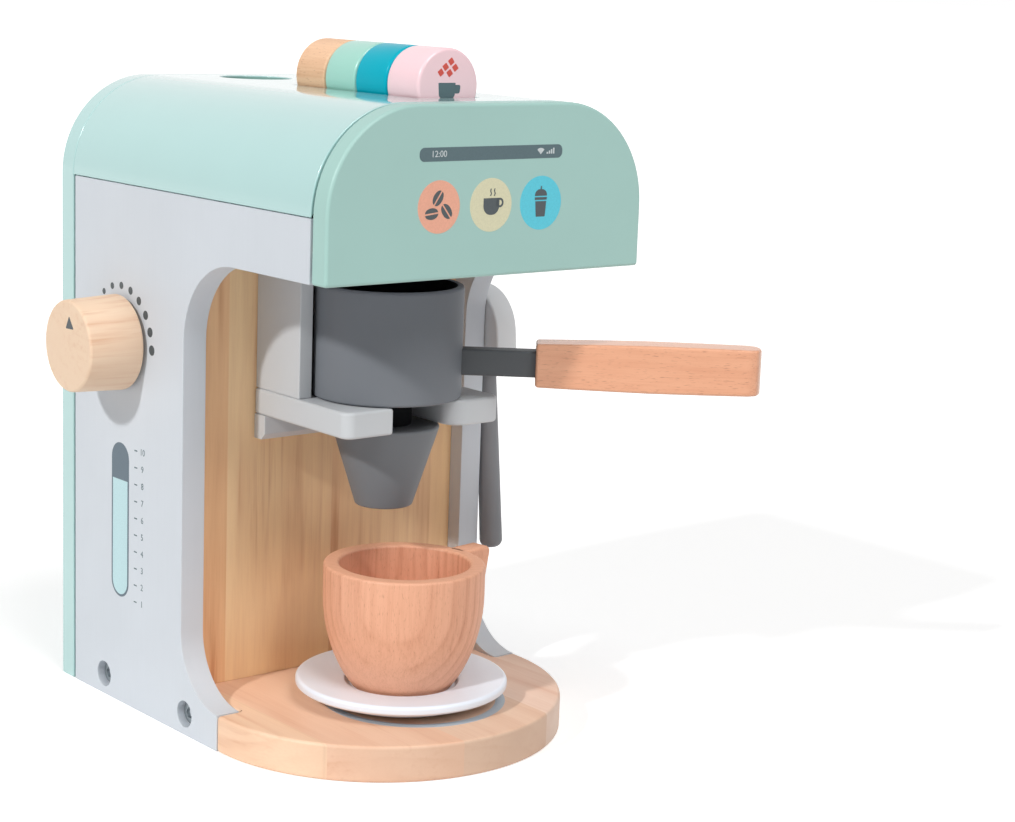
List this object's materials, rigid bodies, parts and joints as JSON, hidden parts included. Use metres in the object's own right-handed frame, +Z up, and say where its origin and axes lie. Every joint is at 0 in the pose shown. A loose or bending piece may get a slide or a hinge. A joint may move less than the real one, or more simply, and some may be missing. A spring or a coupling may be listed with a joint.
{
  "type": "toy coffee maker",
  "caption": "Wooden toy coffee maker: arched case with a brewing bay, turning dial, slide-out filter holder with side handle, swinging steam arm, cup, saucer and loose capsules.",
  "frame": {"origin": "on the table, under the middle of the case between its side panels and its front and back faces", "axes": "+X towards the steam arm's side, -X towards the dial, -Y towards the front with the cup, +Z up"},
  "size_m": [0.2148, 0.2234, 0.2726],
  "materials": {
    "pine": "clear-lacquered pine",
    "pine_wall": "clear-lacquered pine",
    "pine_knob": "clear-lacquered pine",
    "panel_paint": "satin grey paint on plywood",
    "sage_paint": "satin sage paint on plywood",
    "mint_gloss": "glossy mint paint on bent plywood",
    "shelf_paint": "satin paint on plywood",
    "group_paint": "satin light grey paint",
    "slate_paint": "satin slate paint",
    "spout_paint": "satin grey paint",
    "bar_paint": "satin slate paint",
    "steam_paint": "satin grey paint",
    "wand_paint": "satin grey paint",
    "beech": "oiled beech",
    "beech_cup": "oiled beech",
    "beech_capsule": "oiled beech",
    "white_paint": "satin white paint",
    "pink_paint": "glossy pink paint",
    "teal_paint": "glossy teal paint",
    "mint_paint": "glossy mint paint",
    "steel": "zinc-plated steel",
    "dowel_wood": "plain beech"
  },
  "bodies": {
    "case": {"base_plate": "pine", "left_side_panel": "panel_paint", "right_side_panel": "panel_paint", "front_plate": "sage_paint", "back_plate": "sage_paint", "top_shell": "mint_gloss", "capsule_shelf": "shelf_paint", "arm_deck": "group_paint", "rear_wall": "pine_wall", "holder_fork": "group_paint", "fork_ledger": "group_paint", "left_cheek": "group_paint", "right_cheek": "group_paint", "base_screws": "steel", "back_screws": "steel", "fork_screws": "steel", "front_dowels": "dowel_wood", "shell_dowels": "dowel_wood", "cheek_dowels": "dowel_wood", "knob_washer": "steel", "steam_screw": "steel"},
    "dial": {"dial_knob": "pine_knob", "knob_screw": "steel"},
    "spout": {"spout_neck": "slate_paint", "spout_cone": "spout_paint"},
    "filter_holder": {"filter_basket": "slate_paint", "filter_bar": "bar_paint", "filter_grip": "beech"},
    "steam_arm": {"steam_block": "steam_paint", "steam_wand": "wand_paint"},
    "saucer": {"saucer": "white_paint"},
    "cup": {"cup": "beech_cup", "cup_tab": "beech_cup"},
    "pink_capsule": {"capsule_pink": "pink_paint"},
    "teal_capsule": {"capsule_teal": "teal_paint"},
    "mint_capsule": {"capsule_mint": "mint_paint"},
    "beech_capsule": {"capsule_beech": "beech_capsule"}
  },
  "joints": [
    {"name": "dial_turn", "type": "hinge", "parent": "case", "child": "dial", "pos_m": [-0.0765, 0.0444, 0.1508], "axis": [-1, 0, 0], "continuous": true},
    {"name": "holder_slide", "type": "slide", "parent": "case", "child": "spout", "axis": [0, -1, 0], "range_m": [0, 0.06]},
    {"name": "holder_turn", "type": "hinge", "parent": "spout", "child": "filter_holder", "pos_m": [0, -0.0315, 0.143], "axis": [0, 0, 1], "range_deg": [-135, 35]},
    {"name": "steam_swing", "type": "hinge", "parent": "case", "child": "steam_arm", "pos_m": [0.0753, 0.011, 0.1493], "axis": [-1, 0, 0], "range_deg": [-25, 45]},
    {"name": "saucer_slide", "type": "slide", "parent": "case", "child": "saucer", "axis": [0, -1, 0], "range_m": [0, 0.025]},
    {"name": "cup_lift", "type": "slide", "parent": "saucer", "child": "cup", "axis": [0, 0, 1], "range_m": [0, 0.015]},
    {"name": "pink_capsule_lift", "type": "slide", "parent": "case", "child": "pink_capsule", "axis": [0, 0, 1], "range_m": [0, 0.03]},
    {"name": "teal_capsule_lift", "type": "slide", "parent": "case", "child": "teal_capsule", "axis": [0, 0, 1], "range_m": [0, 0.03]},
    {"name": "mint_capsule_lift", "type": "slide", "parent": "case", "child": "mint_capsule", "axis": [0, 0, 1], "range_m": [0, 0.03]},
    {"name": "beech_capsule_lift", "type": "slide", "parent": "case", "child": "beech_capsule", "axis": [0, 0, 1], "range_m": [0, 0.03]}
  ]
}
